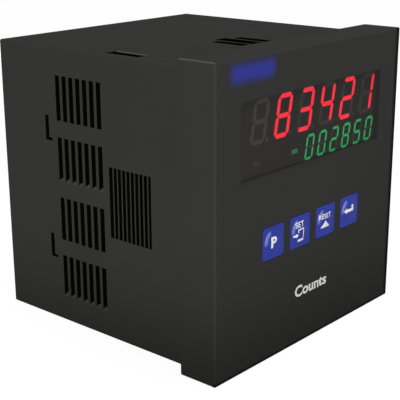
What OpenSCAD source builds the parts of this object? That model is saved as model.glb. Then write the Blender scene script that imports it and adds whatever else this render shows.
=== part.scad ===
// Panel counter: a square front with two rows of LED digits and four keys,
// on a box that goes through a panel cut-out and carries screw terminals at the rear.
// Millimetres. X points right seen from the front, Y points into the panel, Z points up.
// The origin is the middle of the panel plane, where the rim of the bezel lies on the panel.

/* [Front bezel] */
// Side of the square bezel
bezel_side = 96; // [95:0.5:100]
// Depth of the bezel in front of the panel
bezel_depth = 13.4; // [13:0.1:18]
// Thickness of the front wall
front_wall = 2.4; // [2:0.1:2.8]
// Radius along the edges of the front face
front_edge_r = 0.8; // [0.4:0.1:1.2]
// Radius of the four corners seen from the front
corner_r = 0.9; // [0.4:0.1:1.4]
// Wall of the collar that enters the housing
collar_wall = 1.8; // [1.4:0.1:2.2]
// Distance of the end of the collar in front of the panel plane
collar_end = 1; // [0.5:0.1:1.4]
// Radius of the screw bosses behind the front wall
boss_r = 2.6; // [2.2:0.1:3]
// Width of the collar latches
latch_w = 12; // [8:1:16]
// Height of the collar latches
latch_h = 1; // [0.6:0.1:1.4]

/* [Housing] */
// Side of the square housing
body_side = 91.8; // [89:0.1:92]
// Depth of the housing behind the panel
body_depth = 80.2; // [78:0.1:110]
// Housing wall
wall = 2.2; // [1.9:0.1:2.6]
// Radius of the long outer edges
body_edge_r = 0.7; // [0.3:0.1:1.2]
// Clearance between the housing and what plugs into or over it
fit_gap = 0.1; // [0.05:0.01:0.15]

/* [Vents and clamp racks] */
// Width of one vent slot
vent_w = 2; // [1.4:0.1:2.4]
// Height of one vent slot
vent_h = 14.4; // [8:0.1:16]
// Spacing of the vent slots in a group
vent_pitch = 3.08; // [2.9:0.02:3.3]
// Slots in one group
vent_count = 7; // [3:1:8]
// Spacing of the four groups on a side
vent_group_pitch = 19.87; // [18:0.01:20.5]
// Distance of the middle of the vents behind the panel
vent_y = 43.7; // [43.5:0.1:47]
// Slope left at the lower end of every second group
vent_ramp = 1.3; // [0:0.1:2]
// Width of the tall leg of a relief slot
relief_w = 1.7; // [1:0.1:2]
// Height of a relief slot
relief_h = 8.2; // [5:0.1:10]
// Length of the foot of a relief slot
relief_foot = 3.1; // [2:0.1:4]
// Height of the foot of a relief slot
relief_foot_h = 1; // [0.6:0.1:1.4]
// Drop of a relief slot below the middle of the space between two groups
relief_drop = 0.2; // [0:0.1:1]
// Distance of the relief slots behind the panel, at their rear edge
relief_y = 59.5; // [59:0.1:64]
// Length of a clamp rack along the housing
rack_l = 17.7; // [12:0.1:18]
// Height of a clamp rack
rack_h = 22.7; // [14:0.1:30]
// Distance of the middle of a rack behind the panel
rack_y = 22; // [20:0.1:23]
// Grooves in a rack
rack_grooves = 10; // [5:1:12]
// Width of one groove
rack_groove_w = 1.3; // [0.7:0.05:1.4]
// Depth of the grooves
rack_groove_d = 1.5; // [0.6:0.1:1.5]
// Depth of the rack pocket, measured on top of its ribs
rack_sink = 0.3; // [0.1:0.1:0.3]
// Width of the outer slots in the top and the bottom
slot_w = 3.8; // [2:0.1:4]
// Width of the middle slot
slot_mid_w = 5.4; // [3:0.1:6]
// Length of the middle slot
slot_l = 15.5; // [8:0.5:20]
// How much shorter the outer slots are
slot_step = 2.5; // [0:0.5:4]
// Spacing of the three slots
slot_pitch = 5.6; // [5.4:0.1:7]
// Distance of the front end of the slots behind the panel
slot_y = 9.8; // [9:0.1:14]
// Length of the latch opening near an upper and a lower edge
hatch_l = 13.8; // [8:0.1:18]
// Width of the latch opening
hatch_w = 4.6; // [3:0.1:5]
// Length of the slope on the far edge of the latch opening
hatch_lead = 0.7; // [0.2:0.1:2]
// Depth of that slope
hatch_drop = 0.3; // [0.1:0.05:1]
// Distance of the latch opening from the outside of the near wall
hatch_inset = 1.7; // [1.2:0.1:2]
// Distance of the front end of the latch opening behind the panel
hatch_y = 19; // [17:0.1:24]

/* [Display] */
// Width of the display window
window_w = 74; // [73.5:0.5:78]
// Height of the display window
window_h = 24.8; // [24.4:0.1:26]
// Height of the middle of the window above the middle of the front
window_z = 23.6; // [22.5:0.1:24]
// Width of the ledges at both ends that carry the window
window_ledge = 1; // [0.6:0.1:1.1]
// Thickness of the window
window_t = 1; // [0.8:0.1:1.2]
// Depth of the window face below the front face
window_sink = 0.05; // [0:0.05:0.2]
// Clearance around the window
window_gap = 0.1; // [0.05:0.01:0.2]
// Air between the window and the digits
digit_air = 0.1; // [0.1:0.05:0.5]
// Clearance around the digit block in its opening
block_gap = 0.2; // [0.1:0.05:0.3]
// Depth of the light pipes in the digit block
pipe_depth = 2.2; // [1:0.1:3]
// Number on the upper row, without leading zeros
count_shown = 83421; // [0:1:999999]
// Number on the lower row, with leading zeros
preset_shown = 2850; // [0:1:999999]
// Height of an upper digit
count_digit_h = 13.2; // [11:0.1:13.4]
// Width of an upper digit
count_digit_w = 7.3; // [5:0.1:7.4]
// Stroke of an upper digit
count_stroke = 1.4; // [0.9:0.05:1.5]
// Spacing of the upper digits
count_pitch = 11.35; // [10.8:0.05:11.4]
// Place of the middle of the upper row, right of the middle of the window
count_x = 1.8; // [-0.5:0.1:2]
// Space between the upper row and the upper edge of the window
row_top = 1.05; // [0.9:0.05:1.4]
// Space between the two rows
row_gap = 1.6; // [1.4:0.1:2]
// Space between the lower row, which takes the height that is left, and the lower edge
row_low = 0.95; // [0.85:0.05:1.4]
// Width of a lower digit
preset_digit_w = 4.3; // [3:0.1:4.4]
// Stroke of a lower digit
preset_stroke = 0.85; // [0.5:0.05:0.9]
// Spacing of the lower digits
preset_pitch = 6.7; // [6.3:0.05:6.8]
// Place of the middle of the lower row, right of the middle of the window
preset_x = 15.4; // [13:0.1:15.5]
// Lean of the digits, sideways for each millimetre of height
digit_slant = 0.19; // [0:0.01:0.2]
// Gap between the segments of a digit
segment_gap = 0.25; // [0.1:0.05:0.4]
// Width of a status mark
mark_w = 3; // [2:0.1:3.4]
// Height of a status mark
mark_h = 1.3; // [0.8:0.1:2]
// Place of the lit status mark, left of the middle of the window
mark_lit_x = 9.2; // [9:0.1:14]
// Place of the dark status mark, left of the middle of the window
mark_off_x = 28; // [24:0.1:32]

/* [Keys] */
// Side of a key
key_side = 10.3; // [8:0.1:11]
// Radius of the corners of a key
key_corner_r = 0.9; // [0.4:0.1:2]
// Spacing of the keys
key_pitch = 13.8; // [13.5:0.1:14.5]
// Place of the row of keys below the middle of the front
key_z = 9.6; // [9:0.1:14]
// Clearance around a key
key_gap = 0.15; // [0.1:0.01:0.2]
// Radius of the raised dome on a key
dome_r = 4.3; // [3:0.1:4.6]
// Height of the dome
dome_h = 0.45; // [0.2:0.05:0.8]
// Rim of a key behind the front wall
key_lip = 0.9; // [0.5:0.1:1]
// Thickness of that rim
key_lip_t = 1; // [0.6:0.1:1.2]
// Travel of a key
key_travel = 0.35; // [0.2:0.05:0.5]
// Radius of the post behind a key
key_post_r = 2; // [1.5:0.1:2.5]
// Side of a key switch
switch_side = 6.2; // [5.5:0.1:7]
// Height of a key switch without its stem
switch_h = 3.4; // [3:0.1:3.8]
// Radius of the stem of a switch
stem_r = 1.7; // [1.2:0.1:2]
// Height of the stem above the switch
stem_h = 1.6; // [1.2:0.1:1.8]
// Running clearance around the stem
stem_gap = 0.08; // [0.05:0.01:0.1]

/* [Boards] */
// Thickness of a circuit board
board_t = 1.6; // [1.2:0.1:2]
// Distance of the display board behind the front face
board_set = 10; // [9.8:0.1:10.6]
// Distance of the upright boards from the middle, to their inner faces
board_x = 24; // [23:0.5:26]
// Clearance between a board and what holds it
board_gap = 0.2; // [0.1:0.05:0.3]
// Thickness of the guide ribs beside the upright boards
rib_t = 1.2; // [0.8:0.1:1.6]
// Height of the guide ribs
rib_h = 2; // [1.2:0.1:2.4]
// Radius of the screws in the display board
screw_r = 1.1; // [0.8:0.1:1.2]
// Radius of the heads of those screws
screw_head_r = 2; // [1.6:0.1:2.2]
// Height of the heads of those screws
screw_head_h = 1.4; // [1:0.1:1.8]
// Length of those screws below the head
screw_l = 6.5; // [5:0.5:8]
// Width of a card socket
socket_w = 6; // [5:0.1:7]
// Length of a card socket
socket_l = 36; // [30:1:40]
// Height of a card socket
socket_h = 7.5; // [7:0.1:8.5]
// Floor of a card socket
socket_floor = 2; // [1:0.1:2.5]
// End wall of a card socket
socket_end = 1.8; // [1.2:0.1:2.5]

/* [Rear] */
// Thickness of the rear cover
cover_t = 2; // [1.6:0.1:2.4]
// Depth of the rear cover inside the rear edge of the housing
cover_sink = 1; // [0.5:0.1:1.5]
// Width of the lugs on the rear cover
lug_w = 12; // [8:1:16]
// Height of the lugs on the rear cover
lug_h = 0.7; // [0.4:0.1:0.9]
// Terminals in one block
ways = 12; // [6:1:14]
// Spacing of the terminals
way_pitch = 5; // [5:0.02:5.2]
// End wall of a terminal block
block_end = 1.2; // [0.8:0.1:2]
// Width of a terminal block
terminal_w = 10.5; // [9.5:0.1:11.5]
// Depth of a terminal block
terminal_d = 12; // [11:0.5:14]
// Depth of the terminal blocks inside the rear edge of the housing
terminal_sink = 0.5; // [0.2:0.1:0.8]
// Side of a wire entry
entry_side = 3.4; // [2.8:0.1:3.6]
// Depth of a wire entry
entry_d = 9; // [8:0.1:10]
// Height of the bevel below the wire entries
terminal_bevel = 1.5; // [0.5:0.1:2]
// Radius of the head of a terminal screw
clamp_screw_r = 1.6; // [1.3:0.05:1.7]
// Height of the head of a terminal screw
clamp_screw_h = 1.8; // [1.4:0.1:2.2]
// Depth of the screw heads below the face of the block
clamp_screw_sink = 1.2; // [0.6:0.1:1.6]
// Radius of the thread of a terminal screw
clamp_thread_r = 1.1; // [0.9:0.05:1.2]
// Length of the thread of a terminal screw
clamp_thread_l = 5; // [4:0.1:6]
// Slot width in a terminal screw
clamp_slot_w = 0.6; // [0.4:0.05:0.8]
// Depth of the slot in a terminal screw
clamp_slot_d = 0.8; // [0.5:0.1:1]
// Metal thickness of a wire clamp
clamp_t = 0.4; // [0.3:0.05:0.5]
// Length of a wire clamp
clamp_l = 4.5; // [3:0.1:5]

/* [Electronics] */
// Middle leg of the transformer core
core_leg = 10; // [8:0.5:11]
// Height of the stacked core sheets
core_stack = 14; // [10:0.5:16]
// Width of a winding window
core_window_w = 5; // [4:0.1:5.4]
// Height of a winding window
core_window_h = 15; // [12:0.5:18]
// Clearance around the winding
winding_gap = 0.1; // [0.05:0.01:0.2]
// Radius of the main capacitor
main_cap_r = 6.25; // [5:0.25:7]
// Length of the main capacitor
main_cap_l = 20; // [15:0.5:24]
// Radius of a filter capacitor
small_cap_r = 4; // [3:0.1:4.5]
// Length of a filter capacitor
small_cap_l = 11.5; // [8:0.5:14]
// Space between the parts on a board
part_gap = 4; // [3.5:0.1:4.2]
// Radius of the line fuse
fuse_r = 4.25; // [3.5:0.05:4.5]
// Height of the line fuse
fuse_h = 8; // [6:0.1:10]
// Width of a relay
relay_w = 10; // [8:0.5:11]
// Length of a relay
relay_l = 20; // [16:0.5:24]
// Height of a relay
relay_h = 15; // [10:0.5:16]
// Side of the controller chip
chip_side = 10; // [7:0.5:12]
// Height of a flat chip
chip_h = 1.6; // [1:0.1:2]
// Length of an optocoupler
opto_l = 6.5; // [5:0.1:7.5]
// Width of an optocoupler
opto_w = 4.6; // [4:0.1:5.5]
// Height of an optocoupler
opto_h = 3.5; // [2.5:0.1:4]
// Optocouplers on the signal board
opto_count = 5; // [2:1:6]
// Length of a display driver chip
driver_l = 18; // [12:0.5:20]
// Width of a display driver chip
driver_w = 7.5; // [5:0.1:8]

/* [Hidden] */
$fn = 48;
// Overlap of pieces that are joined into one, and of cuts past a face
eps = 0.5;
// Depth planes
front_y = -bezel_depth;
wall_y = front_y + front_wall;
board_y = front_y + board_set;
board_rear_y = board_y + board_t;
cover_y = body_depth - cover_sink - cover_t;
card_y = board_rear_y + socket_h + 4 * board_gap;
card_rear_y = cover_y - board_gap;
terminal_rear_y = body_depth - terminal_sink;
terminal_y = terminal_rear_y - terminal_d;
// Square sections
body_in = body_side - 2 * wall;
skirt_in = body_side + 2 * fit_gap;
collar_out = body_in - 2 * fit_gap;
collar_in = collar_out - 2 * collar_wall;
// Display board and its bosses
display_board_side = collar_in - 2 * board_gap;
boss_edge = 1;
boss_x = collar_in / 2 - boss_r - boss_edge;
boss_low_z = -boss_x;
boss_mid_z = window_z - window_h / 2 - 2 * window_ledge - boss_r;
pilot_gap = 0.05;
pilot_r = screw_r + pilot_gap;
// Collar latches, hidden under the skirt of the bezel
latch_l = 3;
latch_back = 2.5;
latch_y = -latch_l - latch_back;
latch_z = body_side / 4;
// Window and digit block
lens_rear_y = front_y + window_sink + window_t;
block_y = lens_rear_y + digit_air;
opening_w = window_w - 2 * window_ledge;
block_w = opening_w - 2 * block_gap;
block_h = window_h - 2 * block_gap;
count_z = window_h / 2 - row_top - count_digit_h / 2;
preset_digit_h = window_h - row_top - count_digit_h - row_gap - row_low;
preset_z = window_h / 2 - row_low - preset_digit_h / 2;
digit_names = "abcdefg";
digit_shapes = ["abcdef", "bc", "abdeg", "abcdg", "bcfg", "acdfg", "acdefg", "abc", "abcdefg", "abcdfg"];
digits = 6;
// Keys, from the front face to the switches
key_places = [-1.5, -0.5, 0.5, 1.5];
key_lip_air = 0.1;
key_lip_y = wall_y + key_lip_air;
key_lip_rear_y = key_lip_y + key_lip_t;
dome_sphere_r = (dome_r * dome_r + dome_h * dome_h) / (2 * dome_h);
stem_top_y = board_y - switch_h - stem_h;
switch_floor = switch_h / 4;
stem_spare = 0.2;
stem_rest = key_travel + stem_spare;
// Upright boards
card_h = body_in - 2 * board_gap;
card_mid_x = board_x + board_t / 2;
rail_gap = 0.1;
tongue_h = socket_l - 2 * socket_end - 2 * board_gap;
tongue_y = board_rear_y + socket_floor + board_gap;
// Terminal blocks
terminal_h = ways * way_pitch + 2 * block_end;
terminal_x0 = board_x + board_t;
terminal_x1 = terminal_x0 + terminal_w;
way_wall = 1.2;
screw_x = terminal_x0 + clamp_screw_r + way_wall;
entry_x = terminal_x1 - entry_side / 2 - way_wall;
clamp_gap = 0.1;
screw_seat_y = terminal_rear_y - clamp_screw_sink - clamp_screw_h;
// Places on the power board, from the front end of the board and from the middle height
core_w = 2 * core_leg + 2 * core_window_w;
core_h = core_window_h + core_leg;
core_front = 13;
core_raise = 3;
core_y = card_y + core_front + core_w / 2;
core_z = core_raise - body_in / 4;
winding_x = core_stack + 2 * core_window_w;
cap_front = 6;
cap_space = 3;
main_cap_y = card_y + cap_front + main_cap_r;
main_cap_z = core_z + core_h / 2 + part_gap + main_cap_r;
small_cap_y = main_cap_y + main_cap_r + cap_space + small_cap_r;
small_cap_space = 2;
small_cap_pitch = 2 * small_cap_r + small_cap_space;
fuse_space = 3;
fuse_y = core_y + core_w / 2 + fuse_space + fuse_r;
bridge_size = [5, 15, 11];
regulator_size = [16, 4.5, 10.2];
// Places on the signal board
chip_front = 10;
chip_y = card_y + chip_front + chip_side / 2;
relay_y = terminal_y - part_gap / 2 - relay_w / 2;
relay_edge = 3;
relay_z = relay_l / 2 + relay_edge;
crystal_size = [3.6, 11.2, 4.7];
opto_y = chip_y + chip_side / 2 + part_gap + opto_l / 2;
opto_pitch = opto_w + part_gap / 2;

// Extrusions of a flat outline along one axis, between two planes
module along_x(x0, x1) {
    translate([x0, 0, 0]) rotate([90, 0, 90]) linear_extrude(height = x1 - x0) children();
}

module along_y(y0, y1) {
    translate([0, y1, 0]) rotate([90, 0, 0]) linear_extrude(height = y1 - y0) children();
}

module along_z(z0, z1) {
    translate([0, 0, z0]) linear_extrude(height = z1 - z0) children();
}

// A copy on the left and one on the right
module both_sides() {
    children();
    mirror([1, 0, 0]) children();
}

// Rectangle with round corners
module rounded(w, h, r) {
    square([w - 2 * r, h], center = true);
    square([w, h - 2 * r], center = true);
    for (sx = [-1, 1], sz = [-1, 1])
        translate([sx * (w / 2 - r), sz * (h / 2 - r)]) circle(r = r);
}

// Section of the bezel from the side: square at the panel, round at the front edges
module bezel_section() {
    translate([front_y + front_edge_r, -bezel_side / 2]) square([bezel_depth - front_edge_r, bezel_side]);
    translate([front_y, front_edge_r - bezel_side / 2]) square([bezel_depth, bezel_side - 2 * front_edge_r]);
    for (s = [-1, 1])
        translate([front_y + front_edge_r, s * (bezel_side / 2 - front_edge_r)]) circle(r = front_edge_r);
}

module bezel_block() {
    intersection() {
        along_y(front_y, 0) rounded(bezel_side, bezel_side, corner_r);
        along_x(-bezel_side / 2, bezel_side / 2) bezel_section();
        along_z(-bezel_side / 2, bezel_side / 2) mirror([1, -1]) bezel_section();
    }
}

module at_bosses() {
    for (sx = [-1, 1], z = [boss_low_z, boss_mid_z]) translate([sx * boss_x, z]) children();
}

module at_keys() {
    for (k = key_places) translate([k * key_pitch, -key_z]) children();
}

// Latch with a slope at the rear, on the right of the collar
module collar_latch() {
    along_z(latch_z - latch_w / 2, latch_z + latch_w / 2)
        polygon([[collar_out / 2 - eps, latch_y], [collar_out / 2 + latch_h, latch_y],
            [collar_out / 2 + latch_h, latch_y + latch_l / 4], [collar_out / 2, latch_y + latch_l],
            [collar_out / 2 - eps, latch_y + latch_l]]);
}

module front_bezel() {
    color([0.2, 0.2, 0.19])
    difference() {
        union() {
            difference() {
                bezel_block();
                along_y(wall_y, eps) square(skirt_in, center = true);
            }
            along_y(wall_y - front_wall / 2, -collar_end) difference() {
                square(collar_out, center = true);
                square(collar_in, center = true);
            }
            along_y(wall_y - front_wall / 2, board_y) at_bosses() circle(r = boss_r);
            for (s = [0, 1]) mirror([0, 0, s]) both_sides() collar_latch();
        }
        along_y(front_y - eps, lens_rear_y)
            translate([0, window_z]) square([window_w, window_h], center = true);
        along_y(front_y - eps, wall_y + eps) {
            translate([0, window_z]) square([opening_w, window_h], center = true);
            at_keys() rounded(key_side + 2 * key_gap, key_side + 2 * key_gap, key_corner_r + key_gap);
        }
        along_y(board_rear_y - screw_l - board_gap, board_y + eps) at_bosses() circle(r = pilot_r);
    }
}

// Smoked lens: a flat plate, flush with the front, on the ledges at both ends of its opening
module display_window() {
    color([0.1, 0.09, 0.09, 0.7])
    along_y(front_y + window_sink, lens_rear_y) translate([0, window_z])
        square([window_w - 2 * window_gap, window_h - 2 * window_gap], center = true);
}

// Key cap with a raised dome, a rim that stops it behind the front wall and a post to its switch
module key_cap(place) {
    translate([place * key_pitch, 0, -key_z]) {
        along_y(front_y, key_lip_y + key_lip_t / 2) rounded(key_side, key_side, key_corner_r);
        along_y(key_lip_y, key_lip_rear_y)
            rounded(key_side + 2 * key_lip, key_side + 2 * key_lip, key_corner_r + key_lip);
        along_y(key_lip_y + key_lip_t / 2, stem_top_y) circle(r = key_post_r);
        intersection() {
            translate([0, front_y - dome_h + dome_sphere_r, 0]) sphere(r = dome_sphere_r, $fn = 64);
            along_y(front_y - dome_h - eps, front_y + eps) circle(r = dome_r);
        }
    }
}

module key_program() {
    color([0.16, 0.2, 0.58]) key_cap(key_places[0]);
}

module key_set() {
    color([0.16, 0.2, 0.58]) key_cap(key_places[1]);
}

module key_reset() {
    color([0.16, 0.2, 0.58]) key_cap(key_places[2]);
}

module key_enter() {
    color([0.16, 0.2, 0.58]) key_cap(key_places[3]);
}

// Stem of a key switch, from the post of the key into the switch
module switch_stem(place) {
    translate([place * key_pitch, 0, -key_z])
        along_y(stem_top_y, board_y - switch_floor - stem_rest) circle(r = stem_r);
}

module switch_stem_program() {
    color([0.85, 0.82, 0.74]) switch_stem(key_places[0]);
}

module switch_stem_set() {
    color([0.85, 0.82, 0.74]) switch_stem(key_places[1]);
}

module switch_stem_reset() {
    color([0.85, 0.82, 0.74]) switch_stem(key_places[2]);
}

module switch_stem_enter() {
    color([0.85, 0.82, 0.74]) switch_stem(key_places[3]);
}

module key_switches() {
    color([0.12, 0.12, 0.12])
    difference() {
        along_y(board_y - switch_h, board_y) at_keys() square(switch_side, center = true);
        along_y(board_y - switch_h - eps, board_y - switch_floor) at_keys() circle(r = stem_r + stem_gap);
    }
}

// Seven-segment digits, drawn in the plane of the front
function leaning(points) = [for (p = points) [p[0] + digit_slant * p[1], p[1]]];

function bar_across(z, l, t) = [[-l / 2, z], [t / 2 - l / 2, z + t / 2], [l / 2 - t / 2, z + t / 2],
    [l / 2, z], [l / 2 - t / 2, z - t / 2], [t / 2 - l / 2, z - t / 2]];

function bar_up(x, z, l, t) = [[x, z - l / 2], [x + t / 2, z - l / 2 + t / 2], [x + t / 2, z + l / 2 - t / 2],
    [x, z + l / 2], [x - t / 2, z + l / 2 - t / 2], [x - t / 2, z - l / 2 + t / 2]];

function segment(name, w, h, t) =
    let (dx = (w - t) / 2, dz = (h - t) / 2, across = w - t - segment_gap, up = (h - t) / 2 - segment_gap)
    name == "a" ? bar_across(dz, across, t) :
    name == "g" ? bar_across(0, across, t) :
    name == "d" ? bar_across(-dz, across, t) :
    name == "b" ? bar_up(dx, dz / 2, up, t) :
    name == "c" ? bar_up(dx, -dz / 2, up, t) :
    name == "e" ? bar_up(-dx, -dz / 2, up, t) :
    bar_up(-dx, dz / 2, up, t);

// Digit at a place counted from the left, and whether a row without leading zeros is blank there
function digit_at(number, place) = floor(number / pow(10, digits - 1 - place)) % 10;

function blank_at(number, place) = place < digits - 1 && number < pow(10, digits - 1 - place);

function has(shape, name) = len(search(name, shape)) > 0;

// Segments of one digit that are in the shape, or those that are not
module digit_segments(shape, lit, w, h, t) {
    for (i = [0:len(digit_names) - 1])
        if (has(shape, digit_names[i]) == lit)
            polygon(leaning(segment(digit_names[i], w, h, t)));
}

module decimal_point(w, h, t) {
    translate([w / 2 + t * 0.75 - digit_slant * h / 2, t / 2 - h / 2]) circle(r = t * 0.55, $fn = 8);
}

// One row of digits: the lit segments, or the dark ones with the decimal points
module digit_row(number, leading_zeros, lit, w, h, t, pitch) {
    for (i = [0:digits - 1]) translate([(i - (digits - 1) / 2) * pitch, 0]) {
        digit_segments(!leading_zeros && blank_at(number, i) ? "" : digit_shapes[digit_at(number, i)],
            lit, w, h, t);
        if (!lit) decimal_point(w, h, t);
    }
}

module count_row(lit) {
    translate([count_x, window_z + count_z])
        digit_row(count_shown, false, lit, count_digit_w, count_digit_h, count_stroke, count_pitch);
}

module preset_row(lit) {
    translate([preset_x, window_z - preset_z])
        digit_row(preset_shown, true, lit, preset_digit_w, preset_digit_h, preset_stroke, preset_pitch);
}

module status_mark(x) {
    translate([-x, window_z - preset_z]) square([mark_w, mark_h], center = true);
}

// Reflector block with a pocket for each light pipe
module digit_block() {
    color([0.09, 0.09, 0.09]) {
        along_y(block_y, block_y + pipe_depth) difference() {
            translate([0, window_z]) square([block_w, block_h], center = true);
            count_row(true);
            count_row(false);
            preset_row(true);
            preset_row(false);
            status_mark(mark_lit_x);
            status_mark(mark_off_x);
        }
        along_y(block_y + pipe_depth, board_y)
            translate([0, window_z]) square([block_w, block_h], center = true);
    }
}

module count_segments_lit() {
    color([1, 0.15, 0.2]) along_y(block_y, block_y + pipe_depth) count_row(true);
}

module count_segments_off() {
    color([0.3, 0.3, 0.3]) along_y(block_y, block_y + pipe_depth) count_row(false);
}

module preset_segments_lit() {
    color([0.1, 0.7, 0.35]) along_y(block_y, block_y + pipe_depth) preset_row(true);
}

module preset_segments_off() {
    color([0.3, 0.3, 0.3]) along_y(block_y, block_y + pipe_depth) preset_row(false);
}

module status_mark_lit() {
    color([0.1, 0.7, 0.35]) along_y(block_y, block_y + pipe_depth) status_mark(mark_lit_x);
}

module status_mark_off() {
    color([0.3, 0.3, 0.3]) along_y(block_y, block_y + pipe_depth) status_mark(mark_off_x);
}

module display_board() {
    color([0.05, 0.3, 0.16])
    along_y(board_y, board_rear_y) difference() {
        square(display_board_side, center = true);
        at_bosses() circle(r = screw_r + board_gap);
    }
}

module display_board_screws() {
    color([0.75, 0.75, 0.77]) {
        along_y(board_rear_y - screw_l, board_rear_y + eps) at_bosses() circle(r = screw_r);
        along_y(board_rear_y, board_rear_y + screw_head_h) at_bosses() circle(r = screw_head_r);
    }
}

module display_drivers() {
    color([0.1, 0.1, 0.1])
    along_y(board_rear_y, board_rear_y + chip_h)
        for (s = [-1, 1]) translate([0, s * driver_w * 1.5]) square([driver_l, driver_w], center = true);
}

// Sockets on the rear of the display board for the front tongues of the upright boards
module card_sockets() {
    color([0.13, 0.13, 0.14])
    difference() {
        along_y(board_rear_y, board_rear_y + socket_h)
            for (s = [-1, 1]) translate([s * card_mid_x, 0]) square([socket_w, socket_l], center = true);
        along_y(board_rear_y + socket_floor, board_rear_y + socket_h + eps)
            for (s = [-1, 1]) translate([s * card_mid_x, 0])
                square([board_t + 2 * rail_gap, socket_l - 2 * socket_end], center = true);
    }
}

// Four groups of vent slots on the right side; every second group from the top ends in a slope
module vent_cuts() {
    for (g = [0:3]) {
        z = (1.5 - g) * vent_group_pitch;
        ramp = g % 2 == 1 ? vent_ramp : 0;
        for (i = [0:vent_count - 1]) {
            y = vent_y + (i - (vent_count - 1) / 2) * vent_pitch;
            along_y(y - vent_w / 2, y + vent_w / 2)
                polygon([[body_side / 2 - wall - eps, z + vent_h / 2], [body_side / 2 + eps, z + vent_h / 2],
                    [body_side / 2 + eps, z - vent_h / 2], [body_side / 2, z - vent_h / 2],
                    [body_side / 2 - wall, z - vent_h / 2 + ramp],
                    [body_side / 2 - wall - eps, z - vent_h / 2 + ramp]]);
        }
    }
}

// L-shaped relief slots between the first two and the last two groups, on the right side
module relief_cuts() {
    along_x(body_side / 2 - wall - eps, body_side / 2 + eps)
        for (s = [-1, 1])
            translate([relief_y, s * vent_group_pitch - relief_h / 2 - relief_drop]) {
                translate([-relief_w, 0]) square([relief_w, relief_h]);
                translate([-relief_foot, 0]) square([relief_foot, relief_foot_h]);
            }
}

// Ribbed pocket for the tooth of a fixing clamp, on the right side
module rack_cuts() {
    pitch = (rack_l - rack_groove_w) / (rack_grooves - 1);
    along_x(body_side / 2 - rack_sink, body_side / 2 + eps)
        translate([rack_y, 0]) square([rack_l, rack_h], center = true);
    along_x(body_side / 2 - rack_groove_d, body_side / 2 + eps)
        for (i = [0:rack_grooves - 1])
            translate([rack_y + (i - (rack_grooves - 1) / 2) * pitch, 0])
                square([rack_groove_w, rack_h], center = true);
}

// Three slots and a latch opening with one sloped edge, on the top
module top_cuts() {
    along_z(body_in / 2 - eps, body_side / 2 + eps)
        for (i = [-1, 0, 1]) {
            w = i == 0 ? slot_mid_w : slot_w;
            translate([i * slot_pitch - w / 2, slot_y])
                square([w, slot_l - abs(i) * slot_step]);
        }
    x0 = hatch_inset - body_side / 2;
    x1 = x0 + hatch_w;
    along_y(hatch_y, hatch_y + hatch_l)
        polygon([[x0, body_side / 2 + eps], [x0, body_in / 2 - eps],
            [x1, body_in / 2 - eps], [x1, body_side / 2 - hatch_drop],
            [x1 + hatch_lead, body_side / 2], [x1 + hatch_lead, body_side / 2 + eps]]);
}

module latch_windows() {
    along_x(body_in / 2 - eps, body_side / 2 + eps)
        for (s = [-1, 1])
            translate([latch_y + latch_l / 2, s * latch_z])
                square([latch_l + 4 * fit_gap, latch_w + 4 * fit_gap], center = true);
}

// Pockets in the inner walls for the lugs of the rear cover
module lug_pockets() {
    along_x(body_in / 2 - eps, body_in / 2 + lug_h + fit_gap)
        for (s = [-1, 1])
            translate([cover_y + cover_t / 2, s * latch_z])
                square([cover_t, lug_w + 4 * fit_gap], center = true);
}

// Ribs on the inside of the top that guide the right upright board
module guide_ribs() {
    along_y(card_y - eps, cover_y)
        for (s = [-1, 1])
            translate([card_mid_x + s * (board_t / 2 + rail_gap + rib_t / 2), (body_in - rib_h + eps) / 2])
                square([rib_t, rib_h + eps], center = true);
}

module housing() {
    color([0.21, 0.21, 0.2])
    difference() {
        union() {
            along_y(wall_y, body_depth) difference() {
                rounded(body_side, body_side, body_edge_r);
                square(body_in, center = true);
            }
            for (s = [0, 1]) mirror([0, 0, s]) both_sides() guide_ribs();
        }
        both_sides() {
            vent_cuts();
            relief_cuts();
            rack_cuts();
            latch_windows();
            lug_pockets();
        }
        top_cuts();
        rotate([0, 180, 0]) top_cuts();
    }
}

// Rear plate with openings for the terminal blocks and lugs on its left and right edges
module rear_cover() {
    color([0.2, 0.2, 0.2]) {
        along_y(cover_y, cover_y + cover_t) difference() {
            square(body_in - 2 * fit_gap, center = true);
            for (s = [-1, 1])
                translate([s * (terminal_x0 + terminal_x1) / 2, 0])
                    square([terminal_w + 2 * board_gap, terminal_h + 2 * board_gap], center = true);
        }
        for (s = [0, 1]) mirror([0, 0, s]) both_sides()
            along_z(latch_z - lug_w / 2, latch_z + lug_w / 2)
                polygon([[body_in / 2 - fit_gap - eps, cover_y + fit_gap], [body_in / 2, cover_y + fit_gap],
                    [body_in / 2 + lug_h, cover_y + cover_t / 2],
                    [body_in / 2 + lug_h, cover_y + cover_t - fit_gap],
                    [body_in / 2 - fit_gap - eps, cover_y + cover_t - fit_gap]]);
    }
}

// Upright board with a tongue at its front end, on the right
module upright_board() {
    along_x(board_x, board_x + board_t) {
        translate([card_y, -card_h / 2]) square([card_rear_y - card_y, card_h]);
        translate([tongue_y, -tongue_h / 2]) square([card_y - tongue_y + eps, tongue_h]);
    }
}

module power_board() {
    color([0.05, 0.3, 0.16]) mirror([1, 0, 0]) upright_board();
}

module signal_board() {
    color([0.05, 0.3, 0.16]) upright_board();
}

// Stacked sheets with two windows around the middle leg
module transformer_core() {
    x = winding_x / 2 - board_x;
    color([0.4, 0.4, 0.42])
    along_x(x - core_stack / 2, x + core_stack / 2) translate([core_y, core_z]) difference() {
        square([core_w, core_h], center = true);
        for (s = [-1, 1])
            translate([s * (core_leg + core_window_w) / 2, 0])
                square([core_window_w, core_window_h], center = true);
    }
}

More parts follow.
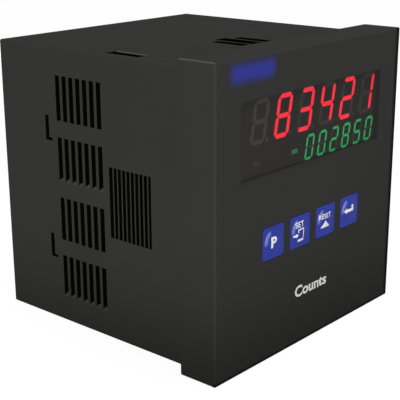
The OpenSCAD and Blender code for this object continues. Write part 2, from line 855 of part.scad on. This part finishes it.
// Coil around the middle leg, standing on the board
module transformer_winding() {
    color([0.75, 0.55, 0.2])
    translate([winding_x / 2 - board_x, core_y, core_z])
    along_z(winding_gap - core_window_h / 2, core_window_h / 2 - winding_gap) difference() {
        rounded(winding_x, core_leg + 2 * core_window_w - 2 * winding_gap, 2);
        square([core_stack + 2 * winding_gap, core_leg + 2 * winding_gap], center = true);
    }
}

module main_capacitor() {
    color([0.12, 0.14, 0.25])
    along_x(-board_x, main_cap_l - board_x) translate([main_cap_y, main_cap_z]) circle(r = main_cap_r);
}

module filter_capacitors() {
    color([0.12, 0.14, 0.25])
    along_x(-board_x, small_cap_l - board_x)
        for (i = [0, 1]) translate([small_cap_y, main_cap_z + i * small_cap_pitch]) circle(r = small_cap_r);
}

module bridge_rectifier() {
    color([0.1, 0.1, 0.1])
    translate([-board_x, small_cap_y + small_cap_r + part_gap, main_cap_z]) cube(bridge_size);
}

module voltage_regulator() {
    color([0.15, 0.15, 0.15])
    translate([-board_x, small_cap_y + small_cap_r + part_gap, main_cap_z + bridge_size[2] + part_gap])
        cube(regulator_size);
}

module line_fuse() {
    color([0.35, 0.12, 0.1])
    along_x(-board_x, fuse_h - board_x) translate([fuse_y, core_z]) circle(r = fuse_r);
}

module controller_chip() {
    color([0.1, 0.1, 0.1])
    along_x(board_x - chip_h, board_x) translate([chip_y, 0]) square(chip_side, center = true);
}

module clock_crystal() {
    color([0.75, 0.75, 0.77])
    translate([board_x - crystal_size[0], chip_y - crystal_size[1] / 2, chip_side / 2 + part_gap])
        cube(crystal_size);
}

module optocouplers() {
    color([0.9, 0.9, 0.87])
    along_x(board_x - opto_h, board_x)
        for (i = [0:opto_count - 1])
            translate([opto_y, (i - (opto_count - 1) / 2) * opto_pitch])
                square([opto_l, opto_w], center = true);
}

module output_relays() {
    color([0.12, 0.25, 0.5])
    along_x(board_x - relay_h, board_x)
        for (s = [-1, 1]) translate([relay_y, s * relay_z]) square([relay_w, relay_l], center = true);
}

module at_ways() {
    for (i = [0:ways - 1]) translate([0, (i - (ways - 1) / 2) * way_pitch]) children();
}

// Terminal block on the outer face of the right upright board, with its openings to the rear
module terminal_block() {
    difference() {
        along_z(-terminal_h / 2, terminal_h / 2)
            polygon([[terminal_x0, terminal_y], [terminal_x1 - terminal_bevel, terminal_y],
                [terminal_x1, terminal_y + terminal_bevel], [terminal_x1, terminal_rear_y],
                [terminal_x0, terminal_rear_y]]);
        along_y(screw_seat_y, terminal_rear_y + eps)
            translate([screw_x, 0]) at_ways() circle(r = clamp_screw_r + clamp_gap);
        along_y(screw_seat_y - clamp_thread_l - clamp_gap, terminal_rear_y)
            translate([screw_x, 0]) at_ways() circle(r = clamp_thread_r + clamp_gap / 2);
        along_y(terminal_rear_y - entry_d, terminal_rear_y + eps)
            translate([entry_x, 0]) at_ways() square(entry_side, center = true);
    }
}

module terminal_block_left() {
    color([0.13, 0.3, 0.16]) mirror([1, 0, 0]) terminal_block();
}

module terminal_block_right() {
    color([0.13, 0.3, 0.16]) terminal_block();
}

// Slotted screws, their heads on the shoulders of the screw wells
module terminal_screws() {
    head_y = screw_seat_y + clamp_screw_h;
    color([0.75, 0.75, 0.77])
    both_sides() difference() {
        union() {
            along_y(screw_seat_y, head_y)
                translate([screw_x, 0]) at_ways() circle(r = clamp_screw_r);
            along_y(screw_seat_y - clamp_thread_l, head_y - clamp_screw_h / 2)
                translate([screw_x, 0]) at_ways() circle(r = clamp_thread_r);
        }
        along_y(head_y - clamp_slot_d, head_y + eps)
            translate([screw_x, 0]) at_ways() square([2 * clamp_screw_r + eps, clamp_slot_w], center = true);
    }
}

// Metal cages at the inner end of the wire entries
module wire_clamps() {
    color([0.8, 0.74, 0.5])
    both_sides() along_y(terminal_rear_y - entry_d, terminal_rear_y - entry_d + clamp_l)
        translate([entry_x, 0]) at_ways() difference() {
            square(entry_side - 2 * clamp_gap, center = true);
            square(entry_side - 2 * clamp_gap - 2 * clamp_t, center = true);
        }
}

front_bezel();
display_window();
key_program();
key_set();
key_reset();
key_enter();
switch_stem_program();
switch_stem_set();
switch_stem_reset();
switch_stem_enter();
key_switches();
digit_block();
count_segments_lit();
count_segments_off();
preset_segments_lit();
preset_segments_off();
status_mark_lit();
status_mark_off();
display_board();
display_board_screws();
display_drivers();
card_sockets();
housing();
rear_cover();
power_board();
transformer_core();
transformer_winding();
main_capacitor();
filter_capacitors();
bridge_rectifier();
voltage_regulator();
line_fuse();
signal_board();
controller_chip();
clock_crystal();
optocouplers();
output_relays();
terminal_block_left();
terminal_block_right();
terminal_screws();
wire_clamps();
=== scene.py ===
import math

import bmesh
import bpy
from mathutils import Matrix, Vector


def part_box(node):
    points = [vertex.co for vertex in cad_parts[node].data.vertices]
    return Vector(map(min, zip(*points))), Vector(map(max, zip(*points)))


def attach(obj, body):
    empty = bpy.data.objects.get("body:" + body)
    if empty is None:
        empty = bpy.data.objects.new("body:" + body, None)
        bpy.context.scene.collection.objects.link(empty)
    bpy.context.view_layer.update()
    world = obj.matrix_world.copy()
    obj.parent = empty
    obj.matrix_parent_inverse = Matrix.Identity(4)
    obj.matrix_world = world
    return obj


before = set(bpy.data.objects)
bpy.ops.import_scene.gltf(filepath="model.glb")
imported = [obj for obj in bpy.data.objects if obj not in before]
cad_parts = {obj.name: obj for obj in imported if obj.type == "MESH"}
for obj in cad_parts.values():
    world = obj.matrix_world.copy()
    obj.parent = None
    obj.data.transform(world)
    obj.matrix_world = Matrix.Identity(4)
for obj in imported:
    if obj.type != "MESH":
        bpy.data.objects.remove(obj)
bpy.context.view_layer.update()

# Housing
# One square tube, injection-moulded in charcoal glass-filled plastic, with a matt grain outside.
# The walls of the vents and slots and the inside are painted almost black as shade, and the
# slopes are painted paler as a highlight. The bezel snaps over its front end.


class Term:
    """A shader value. Python arithmetic on it adds Math nodes."""

    def __init__(self, nodes, socket):
        self.nodes = nodes
        self.socket = socket

    def math(self, operation, first, second=0.0):
        return self.nodes.node("ShaderNodeMath", {"operation": operation}, {0: first, 1: second})

    def __add__(self, other):
        return self.math("ADD", self, other)

    def __radd__(self, other):
        return self.math("ADD", other, self)

    def __sub__(self, other):
        return self.math("SUBTRACT", self, other)

    def __rsub__(self, other):
        return self.math("SUBTRACT", other, self)

    def __mul__(self, other):
        return self.math("MULTIPLY", self, other)

    def __rmul__(self, other):
        return self.math("MULTIPLY", other, self)

    def __truediv__(self, other):
        return self.math("DIVIDE", self, other)

    def __pow__(self, other):
        return self.math("POWER", self, other)

    def __lt__(self, other):
        return self.math("LESS_THAN", self, other)

    def __gt__(self, other):
        return self.math("GREATER_THAN", self, other)

    def __abs__(self):
        return self.math("ABSOLUTE", self)

    def fract(self):
        return self.math("FRACT", self)

    def most(self, other):
        return self.math("MAXIMUM", self, other)

    def least(self, other):
        return self.math("MINIMUM", self, other)

    def between(self, low, high):
        """0 below low, 1 above high and straight between them."""
        return self.nodes.node("ShaderNodeMapRange", {}, {"Value": self, "From Min": low, "From Max": high})


class Nodes:
    """A node tree. One method adds any node: its type, its settings, its socket values or links."""

    def __init__(self, tree):
        self.tree = tree

    def feed(self, socket, value):
        if isinstance(value, Term):
            self.tree.links.new(value.socket, socket)
        else:
            socket.default_value = value

    def node(self, kind, settings, sockets, output=0):
        made = self.tree.nodes.new(kind)
        for name, value in settings.items():
            setattr(made, name, value)
        for name, value in sockets.items():
            self.feed(made.inputs[name], value)
        return Term(self, made.outputs[output])


class Finish(Nodes):
    """The material of a piece. What is the same all over goes straight on the shader's sockets."""

    def __init__(self, name, constants):
        self.material = bpy.data.materials.new(name)
        self.material.use_nodes = True
        super().__init__(self.material.node_tree)
        self.shader = self.tree.nodes["Principled BSDF"]
        for socket, value in constants.items():
            self.set(socket, value)
        self.place = self.node("ShaderNodeTexCoord", {}, {}, "Object")

    def set(self, socket, value):
        self.feed(self.shader.inputs[socket], value)

    def axis(self, letter):
        return self.node("ShaderNodeSeparateXYZ", {}, {0: self.place}, letter)

    def turned(self, letter):
        """How far the surface faces along an axis, either way: 1 straight on, 0 edge on."""
        facing = self.node("ShaderNodeTexCoord", {}, {}, "Normal")
        return abs(self.node("ShaderNodeSeparateXYZ", {}, {0: facing}, letter))

    def noise(self, per_metre, detail=3.0, stretch=None):
        place = self.place
        if stretch:
            place = self.node("ShaderNodeVectorMath", {"operation": "MULTIPLY"}, {0: place, 1: stretch})
        return self.node("ShaderNodeTexNoise", {}, {"Vector": place, "Scale": per_metre, "Detail": detail})

    def mix(self, mask, first, second):
        return self.node("ShaderNodeMix", {"data_type": "RGBA"}, {0: mask, 6: first, 7: second}, 2)

    def relief(self, height, depth):
        self.set("Normal", self.node("ShaderNodeBump", {}, {"Distance": depth, "Height": height}))

    def on(self, *pieces):
        for piece in pieces:
            piece.data.materials.clear()
            piece.data.materials.append(self.material)


def srgb(red, green, blue):
    """A colour as seen on a screen, 0 to 255, in the linear values that the shader takes."""
    parts = [c / 255 for c in (red, green, blue)]
    return tuple(c / 12.92 if c < 0.04 else ((c + 0.055) / 1.055) ** 2.4 for c in parts) + (1.0,)


def shade(colour, factor):
    return tuple(c * factor for c in colour[:3]) + (1.0,)


def moulded(name, colour, rough, specular, grain=4200.0):
    """Moulded plastic: slow drift of tone from the flow of the melt, fine grain from the mould."""
    finish = Finish(name, {"Specular IOR Level": specular})
    drift = finish.noise(22.0, 2.0)
    speck = finish.noise(grain, 2.0)
    tone = (drift - 0.5) * 0.22 + (speck - 0.5) * 0.2 + 0.5
    finish.plain = finish.mix(tone, shade(colour, 0.72), shade(colour, 1.28))
    finish.set("Base Color", finish.plain)
    finish.set("Roughness", rough + (speck - 0.5) * 0.16)
    finish.relief(speck, 0.00002)
    return finish


def node(name):
    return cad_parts[name]


case_colour = srgb(52, 52, 50)
case_rough = 0.9
case_gloss = 0.03
painted_shade_black = srgb(2, 2, 2)
slope_light_gain = 2.1
skin_t = 0.0012
rim_depth = 0.00004
wall_depth = 0.00012
edge_on = 0.3
straight_on = 0.96
case_finish = moulded("charcoal case plastic", case_colour, case_rough, case_gloss)
housing_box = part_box("housing")
housing_half = housing_box[1].x
across = abs(case_finish.axis("X"))
up = abs(case_finish.axis("Z"))
depth = housing_half - across.most(up)
on_side = across > up
outward = on_side * case_finish.turned("X") + (1 - on_side) * case_finish.turned("Z")
before_rear = case_finish.axis("Y") < housing_box[1].y - 0.0001
off_long_edge = housing_half - across.least(up) > skin_t
# Painted highlight: slopes that face partly outward are coloured paler, where they catch the light.
painted_slope_light = (depth > rim_depth) * (outward > edge_on) * (outward < straight_on) * off_long_edge
outer = case_finish.mix(painted_slope_light, case_finish.plain, shade(case_colour, slope_light_gain))
# Painted shade: cut walls and everything deeper than the skin are coloured near black.
shaded_cut_wall = (depth > wall_depth) * (outward < edge_on) * before_rear
painted_recess_shade = shaded_cut_wall.most(depth > skin_t)
case_finish.set("Base Color", case_finish.mix(painted_recess_shade, outer, painted_shade_black))
case_finish.on(node("housing"))

# Rear cover
# Flat plate of the same charcoal plastic, moulded with two long openings for the terminals.
# Lugs on its edges click into pockets in the housing.
moulded("charcoal cover plastic", srgb(47, 47, 46), 0.6, 0.08, 3000.0).on(node("rear_cover"))

# Terminals
# Two blocks of green polyamide soldered to the upright boards, with a screw well and a wire
# entry for each way. Slotted zinc-plated screws press the wires into tinned brass cages.
terminal_finish = moulded("green terminal polyamide", srgb(36, 104, 58), 0.45, 0.3, 2500.0)
terminal_finish.on(node("terminal_block_left"), node("terminal_block_right"))


def plated(name, colour, rough):
    """Plated metal: cloudy plating with fine scratches from the barrel."""
    finish = Finish(name, {"Metallic": 1.0})
    scratch = finish.noise(9000.0, 2.0, (1.0, 0.12, 1.0))
    finish.set("Base Color", finish.mix(finish.noise(700.0), shade(colour, 0.8), colour))
    finish.set("Roughness", rough + (scratch - 0.5) * 0.25)
    finish.relief(scratch, 0.000004)
    return finish


zinc_finish = plated("zinc-plated steel", srgb(196, 198, 202), 0.34)
zinc_finish.on(node("terminal_screws"))
plated("tinned brass", srgb(206, 192, 150), 0.4).on(node("wire_clamps"))

# Boards
# Green solder mask over copper tracks on glass laminate. The two upright boards slide in the
# ribs of the housing, and the display board is screwed to the bezel.
track_pitch = 0.00127
track_share = 0.38
unrouted_share = 0.52
board_finish = Finish("green solder mask", {"Roughness": 0.32, "Specular IOR Level": 0.4})
rows = (board_finish.axis("Z") / track_pitch).fract()
routed = board_finish.noise(260.0, 1.0, (1.0, 0.3, 1.0)) > unrouted_share
track = (rows < track_share) * routed
weave = board_finish.noise(3500.0, 1.0)
mask_tone = board_finish.mix(weave, srgb(10, 66, 38), srgb(14, 82, 48))
board_finish.set("Base Color", board_finish.mix(track, mask_tone, srgb(34, 122, 66)))
board_finish.relief(track, 0.00003)
board_finish.on(node("display_board"), node("power_board"), node("signal_board"))
zinc_finish.on(node("display_board_screws"), node("clock_crystal"))

# Parts on the boards
# Chips, sockets and switches are black moulded epoxy or nylon, relays and capacitors have
# coloured shells, and the transformer is varnished sheet steel around a taped coil.
black_finish = moulded("black moulded epoxy", srgb(30, 30, 31), 0.5, 0.3, 5000.0)
for name in ("key_switches", "card_sockets", "display_drivers", "bridge_rectifier", "voltage_regulator",
             "controller_chip"):
    black_finish.on(node(name))
stem_finish = moulded("ivory switch stem", srgb(222, 214, 196), 0.45, 0.4)
for name in ("program", "set", "reset", "enter"):
    stem_finish.on(node("switch_stem_" + name))
moulded("white optocoupler epoxy", srgb(226, 226, 218), 0.5, 0.3).on(node("optocouplers"))
moulded("blue relay shell", srgb(40, 72, 138), 0.4, 0.4).on(node("output_relays"))
moulded("brown fuse body", srgb(98, 46, 36), 0.5, 0.3).on(node("line_fuse"))
moulded("capacitor sleeve", srgb(38, 44, 76), 0.3, 0.5).on(node("main_capacitor"), node("filter_capacitors"))

core_finish = Finish("varnished core sheets", {"Metallic": 0.6, "Roughness": 0.45})
sheet_t = 0.0005
varnish_share = 0.22
sheet_edge = (core_finish.axis("X") / sheet_t).fract() < varnish_share
core_finish.set("Base Color", core_finish.mix(sheet_edge, srgb(104, 104, 108), srgb(58, 56, 56)))
core_finish.relief(sheet_edge, -0.00004)
core_finish.on(node("transformer_core"))

tape_finish = Finish("wound coil tape", {"Roughness": 0.38, "Specular IOR Level": 0.5})
tape_w = 0.0042
lap_share = 0.06
lap = (tape_finish.axis("Z") / tape_w).fract() < lap_share
tape_finish.set("Base Color", tape_finish.mix(lap, srgb(205, 160, 62), srgb(150, 108, 36)))
tape_finish.relief(lap, -0.00006)
tape_finish.on(node("transformer_winding"))

# Digits
# Dark reflector block with a pocket for each segment, filled with translucent resin over an
# LED chip. The upper row shines red and the lower row green. Unlit segments stay dull grey, and
# those of the dark leading digit look palest.
moulded("dark reflector block", srgb(60, 59, 56), 0.9, 0.02).on(node("digit_block"))


def glowing(name, colour, strength):
    """Resin lit from behind: the light is a little uneven along each segment."""
    finish = Finish(name, {"Base Color": shade(colour, 0.3), "Roughness": 0.5})
    finish.set("Emission Strength", strength)
    finish.set("Emission Color", finish.mix(finish.noise(900.0, 1.0), shade(colour, 0.85), colour))
    return finish


glowing("red resin, lit", srgb(252, 20, 54), 1.06).on(node("count_segments_lit"))
glowing("green resin, lit", srgb(4, 144, 74), 1.2).on(node("preset_segments_lit"))
glowing("green resin, dim", srgb(20, 88, 50), 1.2).on(node("status_mark_lit"))
unlit_finish = Finish("grey resin, unlit", {"Roughness": 0.6, "Specular IOR Level": 0.1})
lit_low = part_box("count_segments_lit")[0]
below_row = lit_low.z - 0.0005
leading = (unlit_finish.axis("X") < lit_low.x) * (unlit_finish.axis("Z") > below_row)
palest = unlit_finish.mix(unlit_finish.noise(1200.0), srgb(70, 69, 67), srgb(77, 76, 74))
unlit_finish.set("Base Color", unlit_finish.mix(leading, srgb(64, 63, 61), palest))
unlit_finish.on(node("count_segments_off"), node("preset_segments_off"), node("status_mark_off"))

# Display window
# Thin plate of smoked acrylic with a satin face, resting on two ledges of the front wall, flush
# with the front. A grey line on its back hides the gaps beside the ledges. Its edge is frosted,
# most of all at the foot.
lens_finish = Finish("smoked acrylic", {"Specular IOR Level": 0.03})
lens_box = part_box("display_window")
lens_middle = (lens_box[0] + lens_box[1]) / 2
lens_half = (lens_box[1] - lens_box[0]) / 2
face_t = 0.00001
ledge_w = 0.00092
line_w = 0.0005
frost_w = 0.0006
foot_frost = (0.0009, 0.0015)
foot_gain = 1.4
clear_alpha = 0.12
frost_alpha = 0.6
past_x = abs(lens_finish.axis("X") - lens_middle.x) - lens_half.x
past_z = abs(lens_finish.axis("Z") - lens_middle.z) - lens_half.z
on_back = lens_finish.axis("Y") > lens_box[1].y - face_t
on_face = lens_finish.axis("Y") < lens_box[0].y + face_t
line = (past_x > -ledge_w - line_w) * (past_x < -ledge_w) * on_back
at_foot = 1 - (lens_finish.axis("Z") - lens_box[0].z).between(*foot_frost)
frost = past_x.most(past_z).between(-frost_w, 0.0).most(at_foot * foot_gain) * on_face
haze = lens_finish.noise(40.0, 2.0)
smoke = lens_finish.mix(haze, srgb(44, 42, 40), srgb(50, 48, 45))
lens_finish.set("Base Color", lens_finish.mix(line.most(frost), smoke, srgb(50, 49, 47)))
lens_finish.set("Alpha", clear_alpha + line * (1 - clear_alpha) + frost * frost_alpha)
lens_finish.set("Roughness", 0.85 + (haze - 0.5) * 0.1)
lens_finish.on(node("display_window"))

# Front bezel
# Square moulding in the charcoal plastic that lies on the panel, with its long edges polished.
# Painted shade turns the right and lower edges of its front black. A blue field with feathered
# edges is screen-printed at the upper left.
bezel_finish = moulded("charcoal bezel plastic", case_colour, case_rough, case_gloss)
bezel_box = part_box("front_bezel")
bezel_half = bezel_box[1].x
front_y = bezel_box[0].y
front_t = 0.0001
front_edge_r = 0.0008
field_middle = (-0.0312, 0.0437)
field_half = (0.0086, 0.0012)
feather = 0.0032
feather_fall = 1.8
right_shade_span = (0.0012, 0.0032)
foot_shade_span = (0.0006, 0.0016)
past_x = abs(bezel_finish.axis("X") - field_middle[0]) - field_half[0]
past_z = abs(bezel_finish.axis("Z") - field_middle[1]) - field_half[1]
on_front = bezel_finish.axis("Y") < front_y + front_t
inside_field = (1 - past_x.between(0.0, feather)) * (1 - past_z.between(0.0, feather))
field = inside_field**feather_fall * on_front
coloured = bezel_finish.mix(field, bezel_finish.plain, srgb(52, 58, 140))
# Painted shade: the right and lower edges of the front are coloured black, where they fall in shade.
at_right = 1 - (bezel_half - bezel_finish.axis("X")).between(*right_shade_span)
at_foot = 1 - (bezel_half + bezel_finish.axis("Z")).between(*foot_shade_span)
painted_edge_shade = at_right.most(at_foot) * (bezel_finish.axis("Y") < front_y + front_edge_r)
bezel_finish.set("Base Color", bezel_finish.mix(painted_edge_shade, coloured, painted_shade_black))
long_edge = (bezel_finish.turned("X") > 0.2) * (bezel_finish.turned("Z") > 0.72)
bezel_finish.set("Coat Weight", long_edge * 0.6)
bezel_finish.set("Coat Roughness", 0.3)
bezel_finish.on(node("front_bezel"))

# Keys
# Four satin blue caps with a shallow dome, printed with white legends, with a pale crescent at
# the upper left of the dome painted as its highlight. Each slides in its opening and presses the
# switch behind it.
first_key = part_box("key_program")
key_z = (first_key[0].z + first_key[1].z) / 2
key_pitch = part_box("key_set")[0].x - first_key[0].x
crescent_inside = (0.0026, 0.0040)
crescent_outside = (0.0041, 0.0044)
crescent_ends = (0.74, 0.94)
crescent_share = 0.45
dome_r = 0.0043
dome_h = front_y - first_key[0].y
sphere_r = (dome_r**2 + dome_h**2) / (2 * dome_h)
lit_way = Vector((-0.87, 0.5))

key_finish = Finish("blue key plastic", {"Specular IOR Level": 0.12})
from_x = ((key_finish.axis("X") / key_pitch).fract() - 0.5) * key_pitch
from_z = key_finish.axis("Z") - key_z
reach = (from_x * from_x + from_z * from_z) ** 0.5
toward = (from_x * lit_way.x + from_z * lit_way.y) / (reach + 0.00001)
# Painted highlight: a pale crescent on the side of the dome that faces the light.
ring = reach.between(*crescent_inside) * (1 - reach.between(*crescent_outside))
painted_crescent_highlight = ring * toward.between(*crescent_ends)
blue = key_finish.mix(key_finish.noise(180.0), srgb(36, 50, 144), srgb(46, 62, 162))
key_finish.set("Base Color", key_finish.mix(painted_crescent_highlight * crescent_share, blue, srgb(186, 190, 226)))
key_finish.set("Roughness", 0.5 + (key_finish.noise(3000.0) - 0.5) * 0.12)

print_finish = Finish("white screen print", {"Specular IOR Level": 0.1, "Roughness": 0.6})
print_tone = print_finish.noise(2600.0)
print_finish.set("Base Color", print_finish.mix(print_tone, srgb(232, 232, 230), srgb(248, 248, 246)))
print_lift = 0.00003
cut_lines = 12
mm = 0.001


def flat_shape(*outlines):
    """A flat bmesh of the given outlines, each a list of (x, z) in millimetres."""
    shape = bmesh.new()
    for outline in outlines:
        shape.faces.new([shape.verts.new((x * mm, 0.0, z * mm)) for x, z in outline])
    return shape


def bar(x0, z0, x1, z1):
    return [(x0, z0), (x1, z0), (x1, z1), (x0, z1)]


def flat_word(word, width, height, middle, weight):
    """A flat bmesh of a word that fills width by height around middle, in millimetres."""
    curve = bpy.data.curves.new("word", "FONT")
    curve.body = word
    curve.offset = weight
    curve.resolution_u = 5
    carrier = bpy.data.objects.new("word", curve)
    bpy.context.scene.collection.objects.link(carrier)
    bpy.context.view_layer.update()
    mesh = bpy.data.meshes.new_from_object(carrier.evaluated_get(bpy.context.evaluated_depsgraph_get()))
    bpy.data.objects.remove(carrier)
    shape = bmesh.new()
    shape.from_mesh(mesh)
    bpy.data.meshes.remove(mesh)
    low = [min(v.co[i] for v in shape.verts) for i in (0, 1)]
    high = [max(v.co[i] for v in shape.verts) for i in (0, 1)]
    for v in shape.verts:
        across = ((v.co.x - low[0]) / (high[0] - low[0]) - 0.5) * width
        up = ((v.co.y - low[1]) / (high[1] - low[1]) - 0.5) * height
        v.co = ((middle[0] + across) * mm, 0.0, (middle[1] + up) * mm)
    return shape


def dome_y(x, z):
    """Depth of the face of a key at a distance from its middle."""
    if x * x + z * z > dome_r**2:
        return front_y
    return front_y - math.sqrt(sphere_r**2 - x * x - z * z) + (sphere_r - dome_h)


def printed(name, shapes, body, face, middle=(0.0, 0.0), cut=None):
    """White print laid on a face: the flat shapes are cut fine enough to follow it."""
    whole = bmesh.new()
    lines = range(-cut_lines, cut_lines + 1) if cut else ()
    for shape in shapes:
        for i in lines:
            for normal in (Vector((1, 0, 0)), Vector((0, 0, 1))):
                everything = shape.verts[:] + shape.edges[:] + shape.faces[:]
                bmesh.ops.bisect_plane(shape, geom=everything, plane_co=normal * i * cut, plane_no=normal)
        flat = bpy.data.meshes.new("flat")
        shape.to_mesh(flat)
        shape.free()
        whole.from_mesh(flat)
        bpy.data.meshes.remove(flat)
    for v in whole.verts:
        v.co = (v.co.x + middle[0], face(v.co.x, v.co.z) - print_lift, v.co.z + middle[1])
    bmesh.ops.triangulate(whole, faces=whole.faces[:])
    for f in whole.faces:
        if f.normal.y > 0:
            f.normal_flip()
    mesh = bpy.data.meshes.new(name)
    whole.to_mesh(mesh)
    whole.free()
    piece = bpy.data.objects.new(name, mesh)
    bpy.context.scene.collection.objects.link(piece)
    print_finish.on(piece)
    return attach(piece, body)


legends = {
    "program": [flat_word("P", 2.8, 3.5, (-0.15, 0.15), 0.035)],
    "set": [
        flat_word("SET", 4.3, 1.8, (-0.6, 2.3), 0.012),
        flat_shape(
            bar(-1.5, -3.3, 1.45, -2.5),
            bar(-1.5, 0.5, 1.45, 0.9),
            bar(1.05, -2.5, 1.45, 0.5),
            bar(-1.5, -0.4, -1.1, 0.5),
            bar(-3.7, -1.45, -2.5, -0.75),
            [(-2.5, -1.85), (-1.2, -1.1), (-2.5, -0.35)],
        ),
    ],
    "reset": [
        flat_word("RESET", 6.4, 1.6, (-0.55, 1.65), 0.012),
        flat_shape([(-2.9, -2.1), (1.9, -2.1), (-0.5, 0.15)]),
    ],
    "enter": [
        flat_shape(
            [(-3.3, 0.2), (-1.7, -0.75), (-1.7, 1.15)],
            bar(-1.7, -0.3, 2.05, 0.7),
            bar(0.85, 0.7, 2.05, 1.8),
        ),
    ],
}
legend_cut = 0.0005
for order, (name, shapes) in enumerate(legends.items()):
    key_middle = ((order - 1.5) * key_pitch, key_z)
    key_finish.on(node("key_" + name))
    printed("key_legend_" + name, shapes, name + "_key", dome_y, key_middle, legend_cut)

# Word on the bezel
# The plain word below the keys names what the digits show, in the same white print on the flat
# front wall.
printed("function_word", [flat_word("Counts", 17.4, 3.8, (-0.2, -29.8), 0.03)], "case", lambda x, z: front_y)

# Window border
# Frame of thin charcoal foil with the grain of the bezel, stuck over the edge of the window and
# the gap around it.
border_in = 0.00045
border_out = 0.0004
corners = ((-1, -1), (1, -1), (1, 1), (-1, 1))
border_y = front_y - print_lift
border_points = []
for step in (-border_in, border_out):
    half_x = lens_half.x + step
    half_z = lens_half.z + step
    border_points += [(lens_middle.x + i * half_x, border_y, lens_middle.z + j * half_z) for i, j in corners]
border_sides = [(i, (i + 1) % 4, (i + 1) % 4 + 4, i + 4) for i in range(4)]
border_mesh = bpy.data.meshes.new("window_border")
border_mesh.from_pydata(border_points, [], border_sides)
border_mesh.flip_normals()
border = bpy.data.objects.new("window_border", border_mesh)
bpy.context.scene.collection.objects.link(border)
bezel_finish.on(border)
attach(border, "case")

# Studio
# The counter lies on its bezel and the rear edge of the housing on a pale floor, in front of white.
# A wide lamp at the left fades out at its foot, and soft lamps above and behind it fill in.
bezel_low = bezel_box[0].z
slope = math.atan2(housing_box[0].z - bezel_low, housing_box[1].y)
floor_mesh = bpy.data.meshes.new("floor")
floor_half = 3
floor_mesh.from_pydata([(i * floor_half, j * floor_half, 0) for i, j in corners], [], [(0, 1, 2, 3)])
floor = bpy.data.objects.new("floor", floor_mesh)
bpy.context.scene.collection.objects.link(floor)
floor.matrix_world = Matrix.Translation((0, 0, bezel_low)) @ Matrix.Rotation(slope, 4, "X")
floor_finish = Finish("pale floor", {"Roughness": 0.9, "Specular IOR Level": 0.0})
floor_tone = floor_finish.noise(6.0)
floor_finish.set("Base Color", floor_finish.mix(floor_tone, srgb(88, 88, 88), srgb(92, 92, 92)))


def seen(nodes):
    """1 for what the camera sees straight, in a mirror or through glass."""
    rays = ("Is Camera Ray", "Is Glossy Ray", "Is Transmission Ray")
    straight, mirrored, through = (nodes.node("ShaderNodeLightPath", {}, {}, ray) for ray in rays)
    return straight.most(mirrored).most(through)


white = floor_finish.node("ShaderNodeEmission", {}, {"Color": (1.0, 1.0, 1.0, 1.0), "Strength": 0.96})
none = floor_finish.node("ShaderNodeEmission", {}, {"Color": (0.0, 0.0, 0.0, 1.0), "Strength": 0.0})
glow = floor_finish.node("ShaderNodeMixShader", {}, {0: seen(floor_finish), 1: none, 2: white})
lit_floor = Term(floor_finish, floor_finish.shader.outputs[0])
surface = floor_finish.node("ShaderNodeAddShader", {}, {0: lit_floor, 1: glow})
floor_finish.feed(floor_finish.tree.nodes["Material Output"].inputs["Surface"], surface)
floor_finish.on(floor)

world = bpy.data.worlds.new("studio")
bpy.context.scene.world = world
world.use_nodes = True
sky = Nodes(world.node_tree)
ambient = sky.node("ShaderNodeBackground", {}, {"Color": (1.0, 1.0, 1.0, 1.0), "Strength": 0.25})
backdrop = sky.node("ShaderNodeBackground", {}, {"Color": (1.0, 1.0, 1.0, 1.0), "Strength": 1.0})
shown = sky.node("ShaderNodeMixShader", {}, {0: seen(sky), 1: ambient, 2: backdrop})
sky.feed(world.node_tree.nodes["World Output"].inputs["Surface"], shown)


def lamp(name, kind, place, target, watts, **settings):
    light = bpy.data.lights.new(name, kind)
    light.energy = watts
    for setting, value in settings.items():
        setattr(light, setting, value)
    holder = bpy.data.objects.new(name, light)
    holder.location = place
    holder.rotation_euler = (Vector(target) - Vector(place)).to_track_quat("-Z", "Y").to_euler()
    bpy.context.scene.collection.objects.link(holder)


cone = {"spot_size": math.radians(74.72), "spot_blend": 0.079, "shadow_soft_size": 0.0315}
lamp("main lamp", "SPOT", (-1.018, -0.756, 0.136), (-0.093, 0.029, 0.791), 65.1, **cone)
lamp("top lamp", "AREA", (-0.01, -0.124, 0.39), (0.0, 0.0, 0.0), 0.56, shape="DISK", size=0.15)
lamp("rear lamp", "AREA", (0.4, 0.46, 0.0), (0.0, 0.03, 0.0), 3.0, shape="DISK", size=0.09)

# Camera
# It stands to the left of the front and a little above it, as the photograph was taken, turned a
# hair around its own axis.
camera = bpy.data.cameras.new("camera")
camera.sensor_width = 36.0
camera.lens = 90.67
eye = bpy.data.objects.new("camera", camera)
around = math.radians(48.88)
above = math.radians(17.07)
roll = math.radians(-0.268)
level = math.cos(above)
forward = Vector((math.sin(around) * level, math.cos(around) * level, -math.sin(above)))
aim = forward.to_track_quat("-Z", "Y").to_matrix().to_4x4() @ Matrix.Rotation(roll, 4, "Z")
eye.matrix_world = Matrix.Translation((-0.25124, -0.18536, 0.09184)) @ aim
bpy.context.scene.collection.objects.link(eye)
bpy.context.scene.camera = eye
bpy.context.scene.view_settings.view_transform = "Standard"
